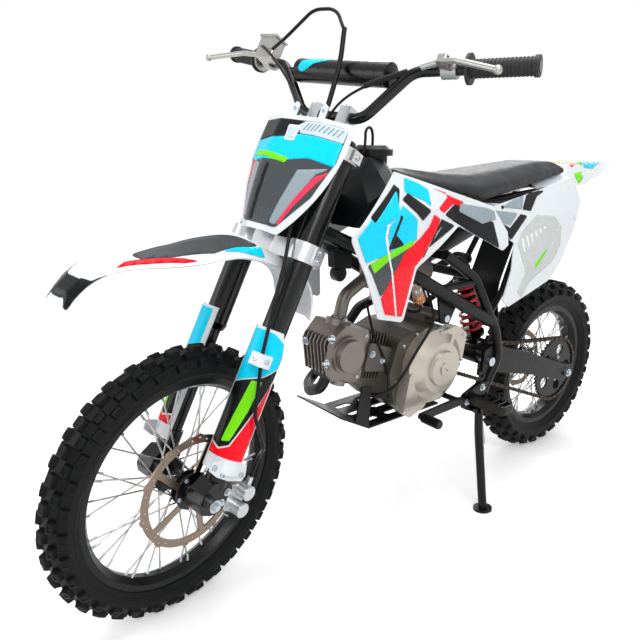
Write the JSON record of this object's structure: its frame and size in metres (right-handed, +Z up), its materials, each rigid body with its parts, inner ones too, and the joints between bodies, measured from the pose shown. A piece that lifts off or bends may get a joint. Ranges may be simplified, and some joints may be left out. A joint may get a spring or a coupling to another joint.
{
  "type": "pit bike",
  "caption": "Small off-road motorcycle with knobbly tyres, upside-down fork, open horizontal engine, long seat and side stand, parked leaning on the stand.",
  "frame": {"origin": "point on the floor under the middle of the parked bike's box", "axes": "+X forward along the bike, +Y to the rider's left, +Z up from the floor it is parked on"},
  "size_m": [1.8006, 0.7838, 1.2106],
  "materials": {
    "tyre": "moulded rubber knobs",
    "rim_black": "black anodised",
    "hub_metal": "satin cast hub with steel spokes",
    "disc_steel": "ground steel",
    "sprocket_steel": "satin steel",
    "axle_steel": "zinc plated",
    "fork_tubes": "gloss black tubes and cast feet",
    "fork_guards": "moulded, with coloured bands",
    "clamp_silver": "satin machined",
    "bar_steel": "silver paint",
    "bar_pad": "black cover over foam",
    "grip_rubber": "ribbed",
    "lever_metal": "polished blades, black perches",
    "white_plastic": "moulded, with coloured bands",
    "caliper_alloy": "cast",
    "hose_black": "smooth",
    "frame_black": "gloss black paint",
    "engine_alloy": "cast, bead blasted",
    "intake_metal": "cast, with a black filter",
    "exhaust_steel": "dark heat-stained pipe",
    "foot_steel": "black and zinc",
    "chain_steel": "oiled",
    "shock_metal": "black anodised",
    "spring_red": "powder coat",
    "tank_black": "moulded",
    "seat_vinyl": "grained vinyl",
    "guard_black": "moulded"
  },
  "bodies": {
    "chassis": {"frame_backbone": "frame_black", "frame_sides": "frame_black", "frame_bolts": "axle_steel", "subframe": "frame_black", "swingarm": "frame_black", "crankcase": "engine_alloy", "cylinder": "engine_alloy", "cylinder_head": "engine_alloy", "engine_covers": "engine_alloy", "carburettor": "intake_metal", "exhaust": "exhaust_steel", "skid_plate": "frame_black", "footpegs": "foot_steel", "shift_lever": "foot_steel", "kick_starter": "foot_steel", "brake_pedal": "foot_steel", "chain": "chain_steel", "drive_sprocket": "sprocket_steel", "rear_shock": "shock_metal", "shock_spring": "spring_red", "rear_brake": "caliper_alloy", "rear_axle": "axle_steel", "fuel_tank": "tank_black", "tank_cap": "tank_black", "seat": "seat_vinyl", "shrouds": "white_plastic", "side_plates": "white_plastic", "rear_fender": "white_plastic", "inner_fender": "guard_black"},
    "steering": {"front_axle": "axle_steel", "fork_legs": "fork_tubes", "fork_guards": "fork_guards", "triple_clamps": "clamp_silver", "handlebar": "bar_steel", "bar_pad": "bar_pad", "grips": "grip_rubber", "clutch_lever": "lever_metal", "brake_lever": "lever_metal", "front_plate": "white_plastic", "front_fender": "white_plastic", "front_caliper": "caliper_alloy", "brake_hose": "hose_black"},
    "front_wheel": {"front_tyre": "tyre", "front_rim": "rim_black", "front_hub": "hub_metal", "front_disc": "disc_steel"},
    "rear_wheel": {"rear_tyre": "tyre", "rear_rim": "rim_black", "rear_hub": "hub_metal", "rear_sprocket": "sprocket_steel", "rear_disc": "disc_steel"},
    "side_stand": {"side_stand": "foot_steel"}
  },
  "joints": [
    {"name": "steering_turn", "type": "hinge", "parent": "chassis", "child": "steering", "pos_m": [0.30464, -0.02318, 0.82046], "axis": [-0.445, 0.078, 0.8921], "range_deg": [-52.7, 31.3]},
    {"name": "front_wheel_spin", "type": "hinge", "parent": "steering", "child": "front_wheel", "pos_m": [0.61575, -0.06262, 0.28413], "axis": [-0.1664, 0.9717, -0.168], "continuous": true},
    {"name": "rear_wheel_spin", "type": "hinge", "parent": "chassis", "child": "rear_wheel", "pos_m": [-0.63365, -0.07173, 0.2668], "axis": [-0.0001, 0.9962, -0.0872], "continuous": true},
    {"name": "side_stand_fold", "type": "hinge", "parent": "chassis", "child": "side_stand", "pos_m": [-0.17165, 0.05492, 0.26816], "axis": [-0.0001, 0.9962, -0.0872], "range_deg": [0, 85]}
  ]
}
